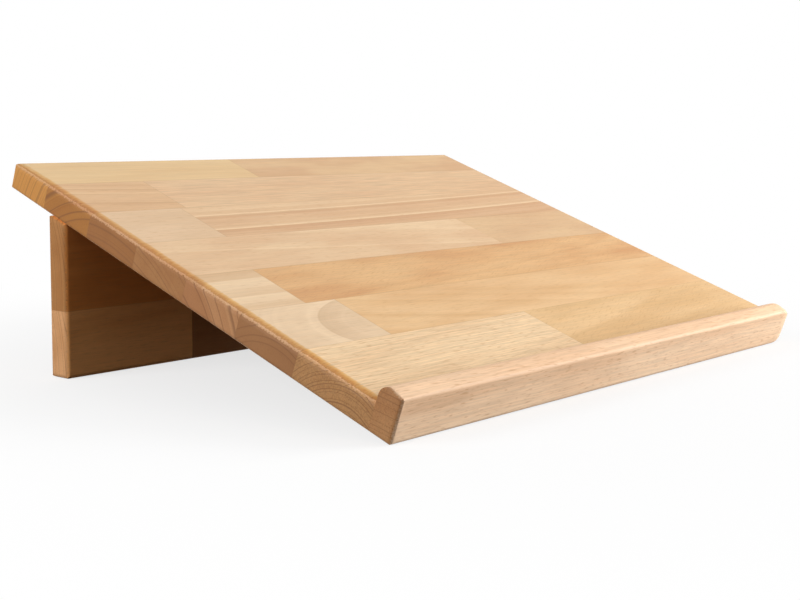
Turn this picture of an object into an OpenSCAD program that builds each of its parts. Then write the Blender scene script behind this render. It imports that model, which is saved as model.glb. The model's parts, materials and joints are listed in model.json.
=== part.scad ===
// Wooden book stand. A reading board glued up from staves leans back on one upright
// support, and a lip along its front edge stops the book.
// The origin is on the table, under the middle of the stand. X runs along the lip,
// with +X to the reader's right, Y runs from the reader to the rear, and Z is up.

/* [Board] */
// Width of the stand, along the lip
stand_w = 450; // [400:1:600]
// Depth of the board up its slope, lip included
board_d = 360; // [320:1:480]
// Thickness of the board
board_t = 18; // [16:0.5:28]
// Tilt of the board from the table, in degrees
tilt = 20; // [14:1:30]
// Radius of the eased outer edges
edge_r = 3; // [1:0.5:4]
// Width of the strip along the left end where sanding has let the reading face fall away
left_fall_w = 8; // [6:0.5:14]
// Radius of the long round of this strip
left_fall_r = 22; // [16:1:40]

/* [Rows of the board] */
// Width of the row at the rear edge, trimmed when the board was cut
rear_row_w = 40.5; // [30:0.5:60]
// Width of the row behind the lip
front_row_w = 59.5; // [40:0.5:70]
// Butt joint in row 1, the rear one, from the left end
row_1_joint = 185; // [40:1:360]
// Butt joint in row 2
row_2_joint = 76; // [40:1:360]
// Butt joint in row 3
row_3_joint = 71; // [40:1:360]
// Butt joint in row 4
row_4_joint = 305; // [40:1:360]
// Butt joint in row 5
row_5_joint = 51; // [40:1:360]
// Butt joint in row 6
row_6_joint = 75; // [40:1:360]
// Butt joint in row 7, the one behind the lip
row_7_joint = 205; // [40:1:360]

/* [Lip] */
// Thickness of the lip, front to back
lip_t = 16; // [14:0.5:24]
// Height of the lip's crown above the reading surface
lip_stand = 11; // [8:0.5:20]
// Fall of the lip's top towards the reader, in degrees
lip_fall = 13; // [5:1:20]
// Radius of the lip's top edge on the book's side
lip_crown_r = 7; // [4:0.5:9]
// Radius of the lip's top edge on the reader's side
lip_front_r = 2.5; // [1:0.5:4]
// Radius of the lip's front corner at its right end, seen from above, worn rounder than the left
lip_right_r = 10; // [3:0.5:12]
// Radius of the lip's top edge at its right end
lip_right_top_r = 5; // [3:0.5:6]

/* [Support] */
// Thickness of the support
support_t = 18; // [16:0.5:28]
// Overhang of the board behind the support, along the table
rear_overhang = 43; // [20:1:100]
// Height of the support's lower row
lower_row_h = 44; // [30:0.5:55]
// Butt joint in the support's lower row, from the left end
lower_joint = 104; // [40:1:360]
// Butt joint in the support's upper row, from the left end
upper_joint = 265; // [40:1:360]

/* [Dowels] */
// Diameter of a dowel
dowel_d = 8; // [6:1:10]
// Length of a dowel
dowel_l = 30; // [25:1:40]
// Bevel on each end of a dowel
dowel_bevel = 1; // [0.5:0.25:1.5]
// Flutes round a dowel, which let the glue past
flute_count = 10; // [6:1:14]
// Depth of a flute
flute_depth = 0.4; // [0.2:0.1:0.6]
// Radius of a flute
flute_r = 0.6; // [0.4:0.1:0.8]
// Dowels in each joint
dowel_count = 4; // [3:1:6]
// Distance from the stand's ends to the first dowel
dowel_inset = 50; // [30:1:80]
// Wood left between a dowel hole and the face that it stops short of
dowel_cover = 5; // [4:0.5:6]
// Gap round a dowel in its hole
dowel_clearance = 0.05; // [0.02:0.01:0.1]
// Room for glue past each end of a dowel
dowel_end_gap = 0.5; // [0.3:0.1:1]

/* [Hidden] */
$fn = 64;

// How far a cutting shape runs past the wood that it trims
past = 5;
half_w = stand_w / 2;

// Rows are counted from the rear. Those between the two edge rows share what is left.
row_joints = [
    row_1_joint, row_2_joint, row_3_joint, row_4_joint, row_5_joint, row_6_joint, row_7_joint
];
row_count = len(row_joints);
middle_row_w = (board_d - lip_t - rear_row_w - front_row_w) / (row_count - 2);
function row_front(row) =
    row == row_count ? lip_t : board_d - rear_row_w - (row - 1) * middle_row_w;
function row_rear(row) = row == 1 ? board_d : row_front(row - 1);

// The lip's end outline: its top falls towards the reader from a crown of the stated height
lip_top_front = board_t + lip_stand - lip_crown_r
    - (lip_t - lip_crown_r) * tan(lip_fall) + lip_crown_r / cos(lip_fall);
lip_top_rear = lip_top_front + lip_t * tan(lip_fall);

// The board is lowered until the round of its lower front edge touches the table
board_z = edge_r * (1 - sin(tilt) - cos(tilt));
function underside_z(y) = board_z + y * tan(tilt);

// The stand reaches from the lip's upper front round to the board's lower rear round
lip_round_n = lip_top_front + lip_front_r * tan(lip_fall) - lip_front_r / cos(lip_fall);
front_reach = lip_front_r * cos(tilt) - lip_round_n * sin(tilt) - lip_front_r;
rear_reach = (board_d - edge_r) * cos(tilt) - edge_r * sin(tilt) + edge_r;
middle_y = (front_reach + rear_reach) / 2;

support_y = board_d * cos(tilt) - rear_overhang - support_t;
support_rear_y = support_y + support_t;
support_top_front = underside_z(support_y);
support_top_rear = underside_z(support_rear_y);

// Dowel holes end where the stated cover of wood is left
hole_r = dowel_d / 2 + dowel_clearance;
hole_l = dowel_l + 2 * dowel_end_gap;
lip_hole_u = dowel_cover;
support_hole_rise = (board_t - dowel_cover - hole_r * sin(tilt)) / cos(tilt);
support_dowel_y = support_y + support_t / 2;
support_hole_z = underside_z(support_dowel_y) + support_hole_rise - hole_l;
dowel_step = (stand_w - 2 * dowel_inset) / (dowel_count - 1);

// Wood tones, row by row from the rear, left then right
row_tones = [
    ["#e3c08c", "#dfb888"], ["#dcb78c", "#e2c197"], ["#e0c3a0", "#ddb487"], ["#e3c49a", "#e3c092"],
    ["#e9cb98", "#dcae78"], ["#e4c6a0", "#e2b985"], ["#ecce9c", "#e4bd88"]
];
lip_tone = "#e3bd94";
support_tones = [["#a06c3e", "#9a6638"], ["#b07a4a", "#99683c"]];
dowel_tone = "#d9b384";

// Places what is drawn flat, with Y up the slope and Z square to the board
module on_slope() {
    translate([0, -middle_y, board_z]) rotate([tilt, 0, 0]) children();
}

// Places what is drawn upright on the table, with Y from the lip's lower edge
module on_table() {
    translate([0, -middle_y, 0]) children();
}

// Extrudes a side outline, drawn with X to the rear and Y up, along the whole width
module along_width() {
    translate([-half_w, 0, 0]) rotate([90, 0, 90]) linear_extrude(stand_w) children();
}

// The waste outside the round of radius r on corner v, between the sides that lead to a and b
module corner_waste(v, a, b, r) {
    to_a = (a - v) / norm(a - v);
    to_b = (b - v) / norm(b - v);
    half_angle = acos(to_a * to_b) / 2;
    mid = (to_a + to_b) / norm(to_a + to_b);
    centre = v + mid * r / sin(half_angle);
    run = r / tan(half_angle);
    difference() {
        polygon([v + to_a * run, v - mid * past, v + to_b * run, centre]);
        translate(centre) circle(r);
    }
}

// An outline with round corners: points in order, with one radius for each, 0 for a sharp one
module rounded_outline(points, radii) {
    count = len(points);
    difference() {
        polygon(points);
        for (i = [0:count - 1])
            if (radii[i] > 0)
                corner_waste(points[i], points[(i + count - 1) % count], points[(i + 1) % count], radii[i]);
    }
}

// A slab as wide as the stand, down from z = 0, its two upper end edges eased
module eased_top_slab(front, rear, depth, right_r = edge_r) {
    translate([0, rear, 0]) rotate([90, 0, 0]) linear_extrude(rear - front)
        rounded_outline(
            [[-half_w, -depth], [half_w, -depth], [half_w, 0], [-half_w, 0]],
            [0, 0, right_r, edge_r]
        );
}

// The waste over the left end, where the face falls away in a long round and then a short one
module left_fall_waste() {
    long_centre = [left_fall_w - half_w, -left_fall_r];
    short_x = edge_r - half_w;
    short_z = long_centre.y + sqrt((left_fall_r - edge_r) ^ 2 - (short_x - long_centre.x) ^ 2);
    short_centre = [short_x, short_z];
    outward = (short_centre - long_centre) / norm(short_centre - long_centre);
    meet = long_centre + outward * (left_fall_r + past);
    difference() {
        polygon([long_centre, meet, [meet.x, past], [long_centre.x, past]]);
        translate(long_centre) circle(left_fall_r);
    }
    difference() {
        polygon([
            short_centre, meet, [meet.x, past], [-half_w - past, past], [-half_w - past, short_z]
        ]);
        translate(short_centre) circle(edge_r);
    }
}

// The same slab, but with its face falling away along the left end
module fallen_top_slab(front, rear, depth) {
    translate([0, rear, 0]) rotate([90, 0, 0]) linear_extrude(rear - front)
        difference() {
            translate([-half_w, -depth]) square([stand_w, depth]);
            left_fall_waste();
            corner_waste([half_w, 0], [-half_w, 0], [half_w, -depth], edge_r);
        }
}

// A slab from z = 0 upwards, its two lower end edges eased
module eased_bottom_slab(front, rear, depth) {
    translate([0, rear, 0]) rotate([90, 0, 0]) linear_extrude(rear - front)
        rounded_outline(
            [[-half_w, 0], [half_w, 0], [half_w, depth], [-half_w, depth]],
            [edge_r, edge_r, 0, 0]
        );
}

// A block seen from above, with the stated corner radii in front and at the rear
module plan_block(front, rear, low, high, front_r, rear_r) {
    translate([0, 0, low]) linear_extrude(high - low)
        rounded_outline(
            [[-half_w, front], [half_w, front], [half_w, rear], [-half_w, rear]],
            [front_r, front_r, rear_r, rear_r]
        );
}

// The reading board behind the lip in one piece, before it is divided into staves
module board_blank() {
    intersection() {
        along_width()
            rounded_outline(
                [[lip_t, 0], [board_d, 0], [board_d, board_t], [lip_t, board_t]],
                [0, edge_r, edge_r, 0]
            );
        plan_block(lip_t, board_d, -past, board_t + past, 0, edge_r);
        translate([0, 0, board_t]) fallen_top_slab(0, board_d + past, board_t + past);
        eased_bottom_slab(0, board_d + past, board_t + past);
    }
}

// The support in one piece: upright, with its top cut to the slope of the board
module support_blank() {
    intersection() {
        along_width()
            rounded_outline(
                [
                    [support_y, 0], [support_rear_y, 0],
                    [support_rear_y, support_top_rear], [support_y, support_top_front]
                ],
                [edge_r, edge_r, edge_r, edge_r]
            );
        plan_block(support_y, support_rear_y, -past, support_top_rear + past, edge_r, edge_r);
        eased_bottom_slab(0, board_d, board_d);
        translate([0, 0, board_z]) rotate([tilt, 0, 0]) eased_top_slab(0, board_d, board_d);
    }
}

// A cutting box from one place along the width to another, with its lowest and highest Y and Z
module length_box(from_left, to_left, y, z) {
    start = from_left == 0 ? -past : from_left;
    end = to_left == stand_w ? stand_w + past : to_left;
    translate([start - half_w, y[0], z[0]]) cube([end - start, y[1] - y[0], z[1] - z[0]]);
}

// One dowel or hole along +Z from z = 0, repeated along the width
module dowel_row() {
    for (i = [0:dowel_count - 1]) translate([i * dowel_step + dowel_inset - half_w, 0, 0]) children();
}

// A fluted dowel with bevelled ends
module dowel() {
    r = dowel_d / 2;
    difference() {
        rotate_extrude()
            polygon([
                [0, 0], [r - dowel_bevel, 0], [r, dowel_bevel],
                [r, dowel_l - dowel_bevel], [r - dowel_bevel, dowel_l], [0, dowel_l]
            ]);
        for (i = [0:flute_count - 1])
            rotate(360 * i / flute_count)
                translate([r + flute_r - flute_depth, 0, -past])
                    cylinder(h = dowel_l + 2 * past, r = flute_r);
    }
}

// Places what stands on z = 0 in the row of holes between lip and board
module in_lip_joint() {
    on_slope() translate([0, lip_hole_u, board_t / 2]) rotate([-90, 0, 0]) dowel_row() children();
}

// Places what stands on z = 0 in the row of holes between support and board
module in_support_joint() {
    on_table() translate([0, support_dowel_y, support_hole_z]) dowel_row() children();
}

module dowel_holes() {
    in_lip_joint() cylinder(h = hole_l, r = hole_r);
    in_support_joint() cylinder(h = hole_l, r = hole_r);
}

module board_stave(row, side) {
    joint = row_joints[row - 1];
    color(row_tones[row - 1][side == "left" ? 0 : 1])
        difference() {
            on_slope() intersection() {
                board_blank();
                length_box(
                    side == "left" ? 0 : joint, side == "left" ? joint : stand_w,
                    [row_front(row) - (row == row_count ? past : 0), row_rear(row) + (row == 1 ? past : 0)],
                    [-past, board_t + past]
                );
            }
            dowel_holes();
        }
}

module lip_strip() {
    color(lip_tone)
        difference() {
            on_slope() intersection() {
                along_width()
                    rounded_outline(
                        [[0, 0], [lip_t, 0], [lip_t, lip_top_rear], [0, lip_top_front]],
                        [edge_r, 0, lip_crown_r, lip_front_r]
                    );
                eased_bottom_slab(-past, board_d, board_d);
                translate([0, 0, lip_top_front])
                    rotate([lip_fall, 0, 0])
                        eased_top_slab(-board_t, board_d, board_d, lip_right_top_r);
            }
            on_slope() translate([0, 0, -past]) linear_extrude(lip_top_rear + 2 * past) {
                corner_waste([-half_w, 0], [-half_w, lip_t], [half_w, 0], edge_r);
                corner_waste([half_w, 0], [-half_w, 0], [half_w, lip_t], lip_right_r);
            }
            dowel_holes();
        }
}

module support_stave(row, side) {
    joint = row == "lower" ? lower_joint : upper_joint;
    color(support_tones[row == "lower" ? 0 : 1][side == "left" ? 0 : 1])
        difference() {
            on_table() intersection() {
                support_blank();
                length_box(
                    side == "left" ? 0 : joint, side == "left" ? joint : stand_w,
                    [support_y - past, support_rear_y + past],
                    row == "lower" ? [-past, lower_row_h] : [lower_row_h, support_top_rear + past]
                );
            }
            dowel_holes();
        }
}

module lip_dowels() {
    color(dowel_tone) in_lip_joint() translate([0, 0, dowel_end_gap]) dowel();
}

module support_dowels() {
    color(dowel_tone) in_support_joint() translate([0, 0, dowel_end_gap]) dowel();
}

for (row = [1:row_count])
    for (side = ["left", "right"])
        board_stave(row, side);
for (row = ["upper", "lower"])
    for (side = ["left", "right"])
        support_stave(row, side);
lip_strip();
lip_dowels();
support_dowels();
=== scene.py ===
"""A wooden book stand: a reading board glued up from short beech staves leans back on one
upright support, and a lip along its front edge stops the book. Lengths are in metres, but in
mm where a name ends in _mm or _MM, and in the wood's patterns."""

import json
import math

import bmesh
import bpy
from mathutils import Euler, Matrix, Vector

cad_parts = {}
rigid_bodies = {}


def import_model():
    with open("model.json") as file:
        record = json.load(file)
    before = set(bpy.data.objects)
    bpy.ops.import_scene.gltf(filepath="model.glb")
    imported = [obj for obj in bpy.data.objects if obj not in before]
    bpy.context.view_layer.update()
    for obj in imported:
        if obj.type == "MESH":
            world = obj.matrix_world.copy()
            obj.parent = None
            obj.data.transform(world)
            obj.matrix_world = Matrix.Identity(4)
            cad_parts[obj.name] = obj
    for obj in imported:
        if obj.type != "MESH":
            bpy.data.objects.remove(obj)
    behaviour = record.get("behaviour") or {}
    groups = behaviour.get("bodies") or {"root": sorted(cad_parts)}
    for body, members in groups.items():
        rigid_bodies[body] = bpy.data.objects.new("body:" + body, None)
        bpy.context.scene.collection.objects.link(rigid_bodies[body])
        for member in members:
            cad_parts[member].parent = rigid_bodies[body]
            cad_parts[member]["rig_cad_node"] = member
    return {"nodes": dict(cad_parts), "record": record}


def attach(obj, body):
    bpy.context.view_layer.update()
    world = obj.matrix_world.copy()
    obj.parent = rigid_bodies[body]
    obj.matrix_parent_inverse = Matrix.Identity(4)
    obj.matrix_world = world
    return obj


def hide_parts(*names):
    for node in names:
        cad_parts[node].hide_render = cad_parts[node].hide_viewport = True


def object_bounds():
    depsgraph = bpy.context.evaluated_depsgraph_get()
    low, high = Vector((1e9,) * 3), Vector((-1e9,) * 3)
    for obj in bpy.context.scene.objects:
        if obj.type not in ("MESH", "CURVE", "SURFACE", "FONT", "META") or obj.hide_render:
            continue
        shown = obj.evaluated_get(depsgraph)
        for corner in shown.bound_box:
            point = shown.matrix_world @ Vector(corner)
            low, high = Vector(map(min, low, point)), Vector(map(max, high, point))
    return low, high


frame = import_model()
cad_low, cad_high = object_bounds()
bpy.ops.object.select_all(action="DESELECT")


# Reading board: seven rows of beech staves, 18 mm thick and about 49 mm wide, each row of two
# lengths butted end to end. They are glued edge to edge, sanded flush and given one clear matt
# lacquer.

MM = 1000.0
reading_face = next(m for m in frame["record"]["mounts"] if m["name"] == "reading_face")
tilt = math.atan2(-reading_face["axis"][1], reading_face["axis"][2])

# What shows each node: the CAD node itself, or the piece that takes its place
shown = dict(frame["nodes"])
MERGE_MM = 0.01
SHARP_DEG = 30


def take_over(name, ending):
    """Puts a copy of a CAD node in its place, its loose triangles merged, and opens it for editing."""
    bpy.ops.object.select_all(action="DESELECT")
    node = frame["nodes"][name]
    node.select_set(True)
    bpy.context.view_layer.objects.active = node
    bpy.ops.object.duplicate()
    copy = bpy.context.object
    copy.name = name + ending
    # The mark of a CAD node, which the copy isn't
    del copy["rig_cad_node"]
    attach(copy, "root")
    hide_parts(name)
    shown[name] = copy
    bpy.ops.mesh.customdata_custom_splitnormals_clear()
    bpy.ops.object.mode_set(mode="EDIT")
    bpy.ops.mesh.select_mode(type="FACE")
    bpy.ops.mesh.select_all(action="SELECT")
    bpy.ops.mesh.remove_doubles(threshold=MERGE_MM / MM)
    return copy


def smooth(piece):
    """Shades rounds smooth, while flats stay flat."""
    bpy.ops.object.mode_set(mode="OBJECT")
    bpy.ops.object.shade_smooth_by_angle(angle=math.radians(SHARP_DEG))
    bpy.ops.object.modifier_add(type="WEIGHTED_NORMAL")
    piece.modifiers[0].keep_sharp = True
    bpy.ops.object.modifier_apply(modifier=piece.modifiers[0].name)


# The CAD staves keep a hair-thin sliver of waste along the left end, where the edge's round
# meets the fall of the face. Each left stave is a copy without it, smooth there like the real
# one. The sliver's faces look along X and lie between two places on X.
ROWS = 7
SLIVER_MM = (-223.1, -222.7)
ALONG_X = 0.9
for row in range(1, ROWS + 1):
    stave = take_over(f"board_row_{row}_left", "_sanded")
    bpy.ops.mesh.select_all(action="DESELECT")
    bpy.ops.object.mode_set(mode="OBJECT")
    for face in stave.data.polygons:
        in_sliver = SLIVER_MM[0] < face.center.x * MM < SLIVER_MM[1]
        face.select = abs(face.normal.x) > ALONG_X and in_sliver
    bpy.ops.object.mode_set(mode="EDIT")
    bpy.ops.mesh.delete(type="FACE")
    smooth(stave)

# ShaderNodeMix keeps its colour inputs and output behind those for numbers and vectors
COLOUR_A, COLOUR_B, COLOUR_OUT = 6, 7, 2

# Nearly all values of a noise lie between these two
NOISE_LOW, NOISE_HIGH = 0.3, 0.7

# Sizes of the marks in the wood, along the grain, across it and through it. Real fibres are too
# fine to show and real flecks a third as wide, so both are drawn coarser.
BEND_MM = (260, 60, 60)
FIBRE_MM = (30, 1.1, 1.1)
FLECK_MM = (9, 0.9, 0.9)

# How far one unit of seed moves each pattern along the grain, and the first two across it too
BEND_STEP_MM, CLOUD_STEP_MM, FIBRE_STEP_MM, FLECK_STEP_MM = (97, 31), (153, 71), 61, 17

# Wide and narrow years: how often they change for each ring, and by how many rings they shift
UNEVEN_PER_RING, UNEVEN_RINGS = 0.55, 2.2

# The dark line of late wood in a ring: where it starts and where it is darkest
LATE_START, LATE_DARKEST = 0.74, 0.93

# A real glue line is about 0.1 mm wide. It is drawn 0.25 mm wide on each stave, to show at all.
GLUE_MM = 0.25
GLUE_SHADE = 0.25

# How deep the open grain is
RELIEF_MM = 0.1


def linear(colour):
    """An sRGB hex colour as linear red, green, blue and alpha."""
    parts = [int(colour[i:i + 2], 16) / 255 for i in (1, 3, 5)]
    return [c / 12.92 if c <= 0.04045 else ((c + 0.055) / 1.055) ** 2.4 for c in parts] + [1.0]


def add(tree, kind, sockets=(), **settings):
    """Adds a node with its settings. sockets pairs each input with a value or a linked output."""
    made = tree.nodes.new(kind)
    for name, value in settings.items():
        setattr(made, name, value)
    for key, value in dict(sockets).items():
        if isinstance(value, bpy.types.NodeSocket):
            tree.links.new(value, made.inputs[key])
        else:
            made.inputs[key].default_value = value
    return made


def own_corners(piece, turn):
    """Lowest and highest corner in mm, with X along the grain, Y across it and Z out of the face."""
    places = [turn @ (v.co * MM) for v in piece.data.vertices]
    return [Vector([pick(p[i] for p in places) for i in range(3)]) for pick in (min, max)]


def lacquered_beech(
    name, turned, pale, deep, heart, lean=(0, 0), sweep=0.0, wave_mm=3.0, ring_mm=4.0, lines=0.2,
    bands=0.5, tones=(), clouds=0.5, cloud_mm=(90, 22), fibres=0.5, flecks=0.3, slant=0.0,
    seed=0.0, end="#c6a883", end_lines=0.45, aslant_fibres_and_highlight=False, shine=0.35,
    glued=("left", "right", "front", "rear"),
):
    """Planed and sanded beech under clear matt lacquer: straw to pinkish tan with a dull sheen,
    growth rings, soft clouds, fine fibres and short dark ray flecks. Lengths are in mm.

    turned: the turn about X that lays the piece's face level.
    pale, deep: the stave's two tones.
    heart: where the pith passes the middle of the piece, across it and below it.
    lean: how far the pith runs off across and downwards for each mm along the grain.
    sweep: how far the rings bend rearwards by the right end.
    wave_mm, ring_mm: how far the rings wander, and how wide they are.
    tones: pairs of a distance from the pith and the depth of tone there, from 0 for pale to 1
        for deep, where single rings stand out.
    lines, bands, clouds, fibres, flecks: how strong the ring lines, the streaks that follow the
        rings, the clouds, the fibres and the ray flecks are.
    cloud_mm: how long and how wide the clouds are.
    slant: the flecks' turn away from the grain, in radians.
    seed: moves every pattern along, so that no two pieces match.
    end, end_lines: the tint of the end grain, and how strong its ring lines are.
    aslant_fibres_and_highlight: whether the fibres cut aslant before the end grain are darker, and the
    arris beside them carries a painted highlight.
    shine: how strongly the lacquer reflects.
    glued: the sides that show a glue line.
    """
    piece = shown[name]
    turn = Euler((turned, 0, 0)).to_matrix()
    low, high = own_corners(piece, turn)
    middle = (low + high) / 2
    half = (high - low) / 2

    material = bpy.data.materials.new("lacquered_beech_" + name)
    material.use_nodes = True
    tree = material.node_tree
    tree.nodes.clear()

    # Millimetres from the piece's middle, with X along the grain and Z out of the face
    place = add(tree, "ShaderNodeTexCoord").outputs["Object"]
    grain = add(tree, "ShaderNodeMapping", {
        "Vector": place, "Location": -middle, "Rotation": (turned, 0, 0), "Scale": (MM, MM, MM),
    }).outputs[0]
    spot = add(tree, "ShaderNodeSeparateXYZ", {0: grain})

    # The trunk's slow bends, up and down from the noise's middle of 0.5, and its sweep. They move
    # the rings by a few mm.
    bend_place = add(tree, "ShaderNodeMapping", {
        "Vector": grain, "Location": (BEND_STEP_MM[0] * seed, BEND_STEP_MM[1] * seed, 0),
        "Scale": BEND_MM,
    }, vector_type="TEXTURE").outputs[0]
    bend = add(tree, "ShaderNodeTexNoise", {
        "Vector": bend_place, "Scale": 1.0, "Detail": 2.0, "Roughness": 0.4,
    }).outputs["Color"]
    bend = add(tree, "ShaderNodeVectorMath", {
        0: bend, 1: (0.5, 0.5, 0.5),
    }, operation="SUBTRACT").outputs[0]
    bent = add(tree, "ShaderNodeVectorMath", {
        0: bend, 1: (0, wave_mm, wave_mm), 2: grain,
    }, operation="MULTIPLY_ADD").outputs[0]
    run = add(tree, "ShaderNodeMapRange", {
        "Value": spot.outputs["X"], "From Min": -half.x, "From Max": half.x,
    }).outputs[0]
    run = add(tree, "ShaderNodeMath", {0: run, 1: run}, operation="MULTIPLY").outputs[0]
    swept = add(tree, "ShaderNodeVectorMath", {
        0: run, 1: (0, -sweep, 0), 2: bent,
    }, operation="MULTIPLY_ADD").outputs[0]
    trunk = add(tree, "ShaderNodeMapping", {
        "Vector": swept, "Location": (0, -heart[0], heart[1]),
        "Rotation": (0, -math.atan(lean[1]), -math.atan(lean[0])),
    }).outputs[0]
    across = add(tree, "ShaderNodeVectorMath", {
        0: trunk, 1: (0, 1, 1),
    }, operation="MULTIPLY").outputs[0]
    radius = add(tree, "ShaderNodeVectorMath", {0: across}, operation="LENGTH").outputs["Value"]

    # Ring boundaries: wide and narrow years, each ending in a thin darker line
    rings = add(tree, "ShaderNodeMath", {0: radius, 1: ring_mm}, operation="DIVIDE").outputs[0]
    uneven = add(tree, "ShaderNodeTexNoise", {
        "W": rings, "Scale": UNEVEN_PER_RING, "Detail": 1.0,
    }, noise_dimensions="1D").outputs["Fac"]
    rings = add(tree, "ShaderNodeMath", {
        0: uneven, 1: UNEVEN_RINGS, 2: rings,
    }, operation="MULTIPLY_ADD").outputs[0]
    late = add(tree, "ShaderNodeMath", {0: rings}, operation="FRACT").outputs[0]
    ring_rise = add(tree, "ShaderNodeMapRange", {
        "Value": late, "From Min": LATE_START, "From Max": LATE_DARKEST,
    }, interpolation_type="SMOOTHSTEP").outputs[0]
    ring_fall = add(tree, "ShaderNodeMapRange", {
        "Value": late, "From Min": LATE_DARKEST, "From Max": 1.0, "To Min": 1.0, "To Max": 0.0,
    }).outputs[0]
    ring = add(tree, "ShaderNodeMath", {0: ring_rise, 1: ring_fall}, operation="MULTIPLY").outputs[0]

    # Soft streaks that follow the rings, and clouds that are long with the grain
    streak = add(tree, "ShaderNodeTexNoise", {
        "W": rings, "Scale": 0.9, "Detail": 2.0,
    }, noise_dimensions="1D").outputs["Fac"]
    cloud_place = add(tree, "ShaderNodeMapping", {
        "Vector": bent, "Location": (CLOUD_STEP_MM[0] * seed, CLOUD_STEP_MM[1] * seed, 0),
        "Scale": (cloud_mm[0], cloud_mm[1], cloud_mm[1]),
    }, vector_type="TEXTURE").outputs[0]
    cloud = add(tree, "ShaderNodeTexNoise", {
        "Vector": cloud_place, "Scale": 1.0, "Detail": 2.0, "Roughness": 0.5,
    }).outputs["Fac"]

    # Fibres, drawn about 1 mm wide, because real ones are too fine to show
    fibre_place = add(tree, "ShaderNodeMapping", {
        "Vector": grain, "Location": (FIBRE_STEP_MM * seed, 0, 0), "Scale": FIBRE_MM,
    }, vector_type="TEXTURE").outputs[0]
    fibre = add(tree, "ShaderNodeTexNoise", {
        "Vector": fibre_place, "Scale": 1.0, "Detail": 2.0, "Roughness": 0.6,
    }).outputs["Fac"]

    # Ray flecks: short dark dashes along the grain, drawn 0.9 mm wide, three times the real width.
    # Only the peaks of the noise become flecks.
    fleck_place = add(tree, "ShaderNodeMapping", {
        "Vector": grain, "Location": (FLECK_STEP_MM * seed, 0, 0), "Rotation": (0, 0, slant),
        "Scale": FLECK_MM,
    }, vector_type="TEXTURE").outputs[0]
    fleck = add(tree, "ShaderNodeTexNoise", {
        "Vector": fleck_place, "Scale": 1.0, "Detail": 1.0,
    }).outputs["Fac"]
    fleck = add(tree, "ShaderNodeMapRange", {
        "Value": fleck, "From Min": 0.57, "From Max": 0.75,
    }).outputs[0]

    # How deep the tone is: half way between pale and deep, moved by each of these
    moves = [
        add(tree, "ShaderNodeMapRange", {
            "Value": cloud, "From Min": NOISE_LOW, "From Max": NOISE_HIGH,
            "To Min": -0.5 * clouds, "To Max": 0.5 * clouds,
        }, interpolation_type="SMOOTHSTEP").outputs[0],
        add(tree, "ShaderNodeMapRange", {
            "Value": streak, "From Min": NOISE_LOW, "From Max": NOISE_HIGH,
            "To Min": -0.5 * bands, "To Max": 0.5 * bands,
        }).outputs[0],
        add(tree, "ShaderNodeMath", {0: ring, 1: lines}, operation="MULTIPLY").outputs[0],
    ]
    if tones:
        (first, first_tone), (last, last_tone) = tones[0], tones[-1]
        share = add(tree, "ShaderNodeMapRange", {
            "Value": radius, "From Min": first, "From Max": last,
        }).outputs[0]
        ramp = add(tree, "ShaderNodeValToRGB", {0: share})
        stops = ramp.color_ramp.elements
        stops[0].color = (first_tone, first_tone, first_tone, 1)
        stops[1].color = (last_tone, last_tone, last_tone, 1)
        for distance, tone in tones[1:-1]:
            stops.new((distance - first) / (last - first)).color = (tone, tone, tone, 1)
        moves.append(add(tree, "ShaderNodeMath", {
            0: ramp.outputs[0], 1: 0.5,
        }, operation="SUBTRACT").outputs[0])
    depth = 0.5
    for move in moves:
        depth = add(tree, "ShaderNodeMath", {0: depth, 1: move}, operation="ADD").outputs[0]
    colour = add(tree, "ShaderNodeMix", {
        0: depth, COLOUR_A: linear(pale), COLOUR_B: linear(deep),
    }, data_type="RGBA").outputs[COLOUR_OUT]

    # At full strength the fibres darken the wood by 12 % and lighten it by 8 %
    shade = add(tree, "ShaderNodeMapRange", {
        "Value": fibre, "From Min": NOISE_LOW, "From Max": NOISE_HIGH,
        "To Min": 1 - 0.12 * fibres, "To Max": 1 + 0.08 * fibres,
    }).outputs[0]
    colour = add(tree, "ShaderNodeVectorMath", {
        0: colour, "Scale": shade,
    }, operation="SCALE").outputs[0]
    fleck_part = add(tree, "ShaderNodeMath", {0: fleck, 1: flecks}, operation="MULTIPLY").outputs[0]
    colour = add(tree, "ShaderNodeMix", {
        0: fleck_part, COLOUR_A: colour, COLOUR_B: linear("#b5804f"),
    }, data_type="RGBA").outputs[COLOUR_OUT]

    # End grain drinks more lacquer, so it is darker and browner, and its rings show as thin
    # lines. Where the face is sanded away to an end, the fibres that are cut aslant are dark too, and
    # the arris between them and the end carries a painted highlight: pale tints where it faces up and
    # to the left. The tints go by how far the surface faces along X, a little further for some fibres
    # than for others.
    facing = add(tree, "ShaderNodeSeparateXYZ", {
        0: add(tree, "ShaderNodeNewGeometry").outputs["Normal"],
    }).outputs["X"]
    cut = add(tree, "ShaderNodeMath", {0: facing}, operation="ABSOLUTE").outputs[0]
    ragged = add(tree, "ShaderNodeMapRange", {
        "Value": fibre, "From Min": NOISE_LOW, "From Max": NOISE_HIGH, "To Min": -0.4, "To Max": 0.4,
    }).outputs[0]
    aslant = add(tree, "ShaderNodeMapRange", {
        "Value": cut, "From Min": 0.9, "From Max": 0.6,
    }).outputs[0]
    aslant = add(tree, "ShaderNodeMath", {0: aslant, 1: cut}, operation="MULTIPLY").outputs[0]
    cut = add(tree, "ShaderNodeMath", {
        0: ragged, 1: aslant, 2: cut,
    }, operation="MULTIPLY_ADD").outputs[0]
    tints = ((0.4, "#ffffff"), (0.86, end))
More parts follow.
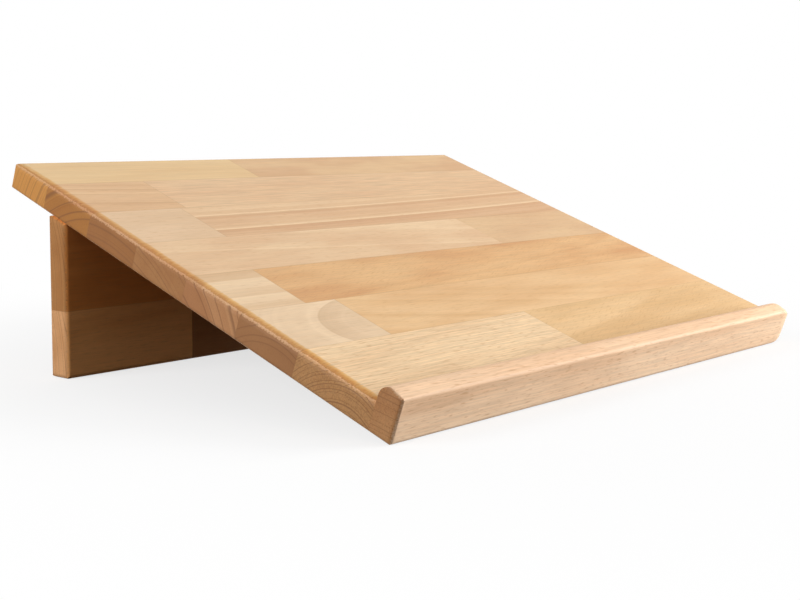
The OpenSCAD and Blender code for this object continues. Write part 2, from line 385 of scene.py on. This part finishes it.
    # On a sanded end: darker aslant fibres, then a painted highlight on the arris, the pale stops from
    # 0.33 to 0.7
    if aslant_fibres_and_highlight:
        tints = (
            (0.03, "#ffffff"), (0.09, "#f6e0b2"), (0.18, "#e2be80"), (0.26, "#d0a778"),
            (0.33, "#e6c7a6"), (0.46, "#fbeae0"), (0.7, "#efd5c0"), (0.86, end),
        )
    tint = add(tree, "ShaderNodeValToRGB", {0: cut})
    stops = tint.color_ramp.elements
    stops[0].color, stops[1].color = linear("#ffffff"), linear(end)
    for facing_x, hue in tints:
        stops.new(facing_x).color = linear(hue)
    colour = add(tree, "ShaderNodeVectorMath", {
        0: colour, 1: tint.outputs[0],
    }, operation="MULTIPLY").outputs[0]
    end_face = add(tree, "ShaderNodeMapRange", {
        "Value": cut, "From Min": 0.55, "From Max": 0.7,
    }).outputs[0]
    cut_line = add(tree, "ShaderNodeMath", {0: ring, 1: end_face}, operation="MULTIPLY").outputs[0]
    cut_line = add(tree, "ShaderNodeMath", {0: cut_line, 1: end_lines}, operation="MULTIPLY").outputs[0]
    colour = add(tree, "ShaderNodeMix", {
        0: cut_line, COLOUR_A: colour, COLOUR_B: linear("#6e4526"),
    }, data_type="RGBA").outputs[COLOUR_OUT]

    # A thin darker glue line along each joint
    sides = {
        "left": ("X", -half.x), "right": ("X", half.x),
        "front": ("Y", -half.y), "rear": ("Y", half.y),
    }
    seam = 0.0
    for side in glued:
        axis, reach = sides[side]
        near = add(tree, "ShaderNodeMath", {
            0: spot.outputs[axis], 1: reach, 2: GLUE_MM,
        }, operation="COMPARE").outputs[0]
        seam = add(tree, "ShaderNodeMath", {0: near, 1: seam}, operation="MAXIMUM").outputs[0]
    seam = add(tree, "ShaderNodeMath", {0: seam, 1: GLUE_SHADE}, operation="MULTIPLY").outputs[0]
    colour = add(tree, "ShaderNodeMix", {
        0: seam, COLOUR_A: colour, COLOUR_B: linear("#8a6038"),
    }, data_type="RGBA").outputs[COLOUR_OUT]

    # Matt lacquer over open grain. The flecks lie a little deeper, and end grain is smooth.
    gloss = add(tree, "ShaderNodeMapRange", {
        "Value": fibre, "From Min": NOISE_LOW, "From Max": NOISE_HIGH, "To Min": 0.56, "To Max": 0.66,
    }).outputs[0]
    relief = add(tree, "ShaderNodeMath", {
        0: fleck, 1: -0.8, 2: fibre,
    }, operation="MULTIPLY_ADD").outputs[0]
    lengthwise = add(tree, "ShaderNodeMath", {0: 1.0, 1: end_face}, operation="SUBTRACT").outputs[0]
    relief = add(tree, "ShaderNodeMath", {0: relief, 1: lengthwise}, operation="MULTIPLY").outputs[0]
    bump = add(tree, "ShaderNodeBump", {
        "Height": relief, "Strength": 0.3, "Distance": RELIEF_MM / MM,
    }).outputs[0]
    wood = add(tree, "ShaderNodeBsdfPrincipled", {
        "Base Color": colour, "Roughness": gloss, "Normal": bump, "IOR": 1.5,
        "Specular IOR Level": shine,
    }).outputs[0]
    add(tree, "ShaderNodeOutputMaterial", {"Surface": wood})
    piece.data.materials.clear()
    piece.data.materials.append(material)


# Row 1 is the one at the rear edge. Each stave is sawn from another board, so its tones, its
# rings and the way they cross its face are its own.
lacquered_beech(
    "board_row_1_left", -tilt, pale="#e1c191", deep="#d8b382", heart=(-110, 30), ring_mm=3.6,
    bands=0.4, clouds=0.5, flecks=0.1, seed=1.3, end="#e3bc80", aslant_fibres_and_highlight=True,
    glued=("right", "front"),
)
lacquered_beech(
    "board_row_1_right", -tilt, pale="#dcb98d", deep="#cfa57c", heart=(60, 90),
    lean=(0.03, 0.02), ring_mm=6, bands=0.3, clouds=0.8, cloud_mm=(60, 20), flecks=0.1, seed=2.1,
    glued=("left", "front"),
)
lacquered_beech(
    "board_row_2_left", -tilt, pale="#e2be92", deep="#c89a71", heart=(-51, 74), lean=(-0.08, 0),
    wave_mm=1.5, ring_mm=8, lines=0.2, bands=0.3, clouds=0.2, seed=3.7, end="#c5a163",
    end_lines=0.6, aslant_fibres_and_highlight=True, glued=("right", "front", "rear"),
    tones=(
        (86, 0.45), (90, 0.55), (92.2, 0.9), (92.8, 0.25), (94, 0.4), (99, 0.45), (99.6, 0.75),
        (100.2, 0.15), (101.5, 0.4), (103.8, 0.45), (104.4, 0.95), (105.2, 0.4), (112, 0.45),
    ),
)
lacquered_beech(
    "board_row_2_right", -tilt, pale="#e4c49b", deep="#d2a77f", heart=(-90, 40), lean=(-0.01, 0),
    ring_mm=3.4, lines=0.1, bands=0.25, clouds=0.3, fibres=1.3, flecks=0.15, seed=4.2,
    glued=("left", "front", "rear"),
)
lacquered_beech(
    "board_row_3_left", -tilt, pale="#e0c09c", deep="#d7b58f", heart=(0, 140), lean=(0, 0.02),
    ring_mm=4.5, lines=0.05, bands=0.2, clouds=0.8, seed=5.9, end="#b0895c", aslant_fibres_and_highlight=True,
    glued=("right", "front", "rear"),
)
lacquered_beech(
    "board_row_3_right", -tilt, pale="#e6c69d", deep="#cda179", heart=(200, 0), sweep=11,
    wave_mm=1.0, ring_mm=5, lines=0.05, bands=0.3, clouds=0.2, seed=6.4,
    glued=("left", "front", "rear"),
    tones=(
        (176, 0.45), (189, 0.45), (190.2, 0.0), (191, 0.0), (191.5, 0.9), (200, 0.65),
        (211.5, 0.4), (213, 0.0), (213.8, 0.0), (214.3, 1.0), (225, 0.8),
    ),
)
lacquered_beech(
    "board_row_4_left", -tilt, pale="#e7c8a0", deep="#d3aa82", heart=(30, 110), lean=(-0.1, 0),
    wave_mm=2.0, ring_mm=5, lines=0.1, bands=0.3, clouds=0.4, cloud_mm=(60, 16), seed=7.1,
    end="#ba9a76", aslant_fibres_and_highlight=True, glued=("front", "rear"),
    tones=(
        (117, 0.35), (118.9, 0.45), (119.3, 0.25), (119.7, 0.65), (122, 0.5), (123.6, 0.45),
        (124, 0.2), (124.4, 0.6), (128, 0.5),
    ),
)
lacquered_beech(
    "board_row_4_right", -tilt, pale="#dab78c", deep="#cea57c", heart=(-20, 110),
    lean=(-0.06, 0.02), ring_mm=8, bands=0.4, clouds=0.6, seed=8.8, glued=("front", "rear"),
)
lacquered_beech(
    "board_row_5_left", -tilt, pale="#e8cba6", deep="#d0ab82", heart=(55, 60), wave_mm=0.6,
    ring_mm=7.5, lines=0.05, bands=0.2, clouds=0.2, flecks=0.2, seed=9.5, end="#caa88b",
    end_lines=0.6, aslant_fibres_and_highlight=True, glued=("right", "front", "rear"),
    tones=(
        (76, 0.85), (80, 0.75), (80.6, 0.1), (84, 0.2), (93, 0.6), (93.6, 0.1), (97, 0.3),
        (101, 0.5),
    ),
)
lacquered_beech(
    "board_row_5_right", -tilt, pale="#ddb27e", deep="#cc9764", heart=(15, 85),
    lean=(0.04, 0.02), ring_mm=5, bands=0.5, clouds=0.8, fibres=0.8, flecks=0.4, slant=0.35,
    seed=10.6, glued=("left", "front", "rear"),
)
lacquered_beech(
    "board_row_6_left", -tilt, pale="#e9cca8", deep="#cfae89", heart=(-9, 28.5), lean=(0, -0.67),
    wave_mm=4.0, ring_mm=5, lines=0.05, bands=0.2, clouds=0.3, flecks=0.2, seed=11.2,
    end="#ad8a68", aslant_fibres_and_highlight=True, glued=("right", "front", "rear"),
    tones=(
        (8, 0.4), (22, 0.4), (32.5, 0.65), (35.4, 0.8), (36.1, 0.1), (39, 0.0), (42, 0.25),
        (60, 0.35),
    ),
)
lacquered_beech(
    "board_row_6_right", -tilt, pale="#e5bf8e", deep="#d4a673", heart=(60, 60), lean=(-0.3, 0.1),
    ring_mm=9, lines=0.1, bands=0.45, clouds=0.5, flecks=0.3, seed=12.9,
    glued=("left", "front", "rear"),
)
lacquered_beech(
    "board_row_7_left", -tilt, pale="#f0d2a8", deep="#deb98e", heart=(-14, 34), ring_mm=2.4,
    lines=0.15, bands=0.4, clouds=0.4, fibres=1.5, flecks=0.5, seed=13.4, end="#bfa382",
    end_lines=0.65, aslant_fibres_and_highlight=True, glued=("right", "front", "rear"),
)
lacquered_beech(
    "board_row_7_right", -tilt, pale="#e1bb89", deep="#d3aa76", heart=(30, 95),
    lean=(0.05, 0.03), ring_mm=6, bands=0.5, clouds=0.7, fibres=0.8, flecks=0.4, slant=0.35,
    seed=14.7, glued=("left", "front", "rear"),
)


# Lip: one beech strip, glued and dowelled on the board's front edge. Its crown is rounded on
# the book's side, its top falls towards the reader, and sanding has worn its right end rounder
# than the left one.

# Over the last stretch the strip is drawn again in a quarter round. By its end the top has
# fallen, the foot has risen and the front has fallen back by these lengths.
WORN_MM = 16
WORN_TOP_MM, WORN_FOOT_MM, WORN_FRONT_MM = 14.5, 11.5, 6.0
WORN_STEPS = 8
lip = take_over("lip_strip", "_worn")
bpy.ops.mesh.bisect(
    plane_co=(cad_high[0] - WORN_MM / MM, 0, 0), plane_no=(1, 0, 0), use_fill=True, clear_outer=True,
)
level = Euler((-tilt, 0, 0)).to_matrix()
shape = bmesh.from_edit_mesh(lip.data)
section = [level @ v.co for v in shape.verts if v.select]
foot, top = min(p.z for p in section), max(p.z for p in section)
front, rear = min(p.y for p in section), max(p.y for p in section)
was = (front, foot, top)
for step in range(1, WORN_STEPS + 1):
    angle = math.radians(90 * step / WORN_STEPS)
    fallen = (1 - math.cos(angle)) / MM
    now = (front + WORN_FRONT_MM * fallen, foot + WORN_FOOT_MM * fallen, top - WORN_TOP_MM * fallen)
    bpy.ops.mesh.extrude_region()
    shape = bmesh.from_edit_mesh(lip.data)
    for v in shape.verts:
        if v.select:
            place = level @ v.co
            place.x = cad_high[0] - (1 - math.sin(angle)) * WORN_MM / MM
            place.y = rear - (rear - place.y) * (rear - now[0]) / (rear - was[0])
            place.z = now[1] + (place.z - was[1]) * (now[2] - now[1]) / (was[2] - was[1])
            v.co = level.transposed() @ place
    bmesh.update_edit_mesh(lip.data)
    was = now
smooth(lip)
lacquered_beech(
    "lip_strip", -tilt, pale="#f9d9b6", deep="#e6be98", heart=(-20, 200), lean=(0, -0.01),
    wave_mm=0.8, ring_mm=4, lines=0.05, bands=0.2, clouds=0.5, fibres=1.1, flecks=0.45,
    slant=-0.1, seed=15.1, end="#b89b78", glued=(),
    tones=((180, 0.45), (202, 0.45), (207, 0.95), (225, 1.0)),
)


# Support: two rows of the same staves, glued up like the board and set upright under its rear
# half, with the grain along the width here too. Its top is cut to the board's slope, and its
# lacquer looks duller than the board's.

# The staves' tones carry painted shade from under the board, a deep orange that is darkest on the
# lower right stave, and painted light on the lower left one, which is lighter where light comes in
# from the left. The left ends look greyer than the faces beside them, so their tints are cool, and
# the right ends' tints are grey: both take the painted orange off the lit ends again.
UPRIGHT = -math.pi / 2
DULL = 0.12
lacquered_beech(
    "support_upper_left", UPRIGHT, pale="#e3954f", deep="#d18240", heart=(-20, 120), ring_mm=3,
    lines=0.1, bands=0.5, clouds=0.5, seed=16.3, end="#caddff", shine=DULL,
    glued=("right", "front"),
)
lacquered_beech(
    "support_upper_right", UPRIGHT, pale="#d78d4c", deep="#c67c3e", heart=(30, 120), ring_mm=4,
    lines=0.1, bands=0.5, clouds=0.5, seed=17.8, end="#c8bca8", shine=DULL,
    glued=("left", "front"),
)
# Lighter tones: painted light that comes in under the board from the left
lacquered_beech(
    "support_lower_left", UPRIGHT, pale="#fbb673", deep="#e9a361", heart=(-10, 140),
    lean=(0.25, 0.02), ring_mm=3.5, lines=0.1, bands=0.6, clouds=0.8, seed=18.2, end="#dae4ff",
    shine=DULL, glued=("right", "rear"),
)
# The darkest tones: painted shade, deepest here under the board
lacquered_beech(
    "support_lower_right", UPRIGHT, pale="#a46c3f", deep="#986135", heart=(20, 120), ring_mm=4,
    lines=0.1, bands=0.5, clouds=0.5, seed=19.6, end="#c8bca8", shine=DULL,
    glued=("left", "rear"),
)


# Dowels: fluted beech pins, glued into blind holes across the two hidden joints. Nothing of them
# shows once the stand is together, so they take the staves' finish, though real ones are bare.
for dowels in ("lip_dowels", "support_dowels"):
    lacquered_beech(
        dowels, -tilt, pale="#e2bf8f", deep="#d6ad7a", heart=(0, 50), ring_mm=3, bands=0.3,
        clouds=0.4, seed=20.5, glued=(),
    )


# Floor and background: a plain pale table top that fades to white. Only rays that are seen meet
# the white, so it adds no light to the wood. All other light meets a dull brown table instead.
WHITE = linear("#ffffff")
FLOOR_WIDTH, FLOOR_DROP = 30, 0.0002

# Near the stand 0.7 of what is seen of the floor is plain white, and the rest is its paint, which
# keeps the stand's shadow. From 0.6 m on it is all plain white.
FADE_FROM, FADE_TO, WHITE_NEAR = 0.1, 0.6, 0.7
SOFT_LIGHT = 0.3


def seen_rays(tree):
    """1 for rays of the camera, of reflections and through glass, and 0 for all other light."""
    rays = add(tree, "ShaderNodeLightPath").outputs
    seen = rays["Is Camera Ray"]
    for kind in ("Is Glossy Ray", "Is Transmission Ray"):
        seen = add(tree, "ShaderNodeMath", {0: seen, 1: rays[kind]}, operation="MAXIMUM").outputs[0]
    return seen


bpy.ops.mesh.primitive_plane_add(size=FLOOR_WIDTH, location=(0, 0, -FLOOR_DROP))
floor = bpy.context.object
floor.name = "floor"
floor_paint = bpy.data.materials.new("matt_white_table")
floor_paint.use_nodes = True
paint = floor_paint.node_tree
paint.nodes.clear()
away = add(paint, "ShaderNodeVectorMath", {
    0: add(paint, "ShaderNodeTexCoord").outputs["Object"],
}, operation="LENGTH").outputs["Value"]
fade = add(paint, "ShaderNodeMapRange", {
    "Value": away, "From Min": FADE_FROM, "From Max": FADE_TO, "To Min": WHITE_NEAR,
}, interpolation_type="SMOOTHSTEP").outputs[0]
table_top = add(paint, "ShaderNodeBsdfDiffuse", {"Color": WHITE}).outputs[0]
glow = add(paint, "ShaderNodeEmission", {"Color": WHITE, "Strength": 1.0}).outputs[0]
faded = add(paint, "ShaderNodeMixShader", {0: fade, 1: table_top, 2: glow}).outputs[0]
brown = add(paint, "ShaderNodeBsdfDiffuse", {"Color": linear("#3d2c1f")}).outputs[0]
both = add(paint, "ShaderNodeMixShader", {0: seen_rays(paint), 1: brown, 2: faded}).outputs[0]
add(paint, "ShaderNodeOutputMaterial", {"Surface": both})
floor.data.materials.append(floor_paint)

world = bpy.data.worlds.new("studio")
bpy.context.scene.world = world
world.use_nodes = True
sky = world.node_tree
sky.nodes.clear()
soft = add(sky, "ShaderNodeBackground", {"Color": WHITE, "Strength": SOFT_LIGHT}).outputs[0]
backdrop = add(sky, "ShaderNodeBackground", {"Color": WHITE, "Strength": 1.0}).outputs[0]
both = add(sky, "ShaderNodeMixShader", {0: seen_rays(sky), 1: soft, 2: backdrop}).outputs[0]
add(sky, "ShaderNodeOutputWorld", {"Surface": both})


# Studio light: large softboxes. One stands low in front and to the right and lights the lip and
# the board, one hangs above the rear, and one at the left lights the ends and the rounded edge.
AIM = Vector((0, 0, 0.06))
for name, place, size, watts in (
    ("front_softbox", (1.4, -1.4, 0.42), 1.2, 68.5),
    ("rear_softbox", (0.4, 0.9, 1.6), 1.2, 4),
    ("left_softbox", (-1.5, 0.3, 0.55), 1.0, 17),
):
    lamp = bpy.data.lights.new(name, "AREA")
    lamp.size = size
    lamp.energy = watts
    softbox = bpy.data.objects.new(name, lamp)
    softbox.location = place
    softbox.rotation_euler = (AIM - Vector(place)).to_track_quat("-Z", "Y").to_euler()
    bpy.context.scene.collection.objects.link(softbox)


# Camera: low at the stand's left front, as in the photograph, and fitted to the stand's outline.
# It looks a little down, and the picture's middle lies below the line that it looks along.
SENSOR_MM = 36
FOCAL_PX, BELOW_PX, PICTURE_W_PX = 1321, 72, 800
DOWN_DEG, HEADING_DEG, ROLL_DEG = 4.05, -48.81, -0.12
eye = bpy.data.cameras.new("camera")
eye.sensor_width = SENSOR_MM
eye.lens = SENSOR_MM * FOCAL_PX / PICTURE_W_PX
eye.shift_y = -BELOW_PX / PICTURE_W_PX
camera = bpy.data.objects.new("camera", eye)
camera.location = (-0.7168, -0.6023, 0.1571)
camera.rotation_euler = (math.radians(90 - DOWN_DEG), 0, math.radians(HEADING_DEG))
camera.rotation_euler.rotate_axis("Z", math.radians(ROLL_DEG))
bpy.context.scene.collection.objects.link(camera)
bpy.context.scene.camera = camera
bpy.context.scene.view_settings.view_transform = "Standard"
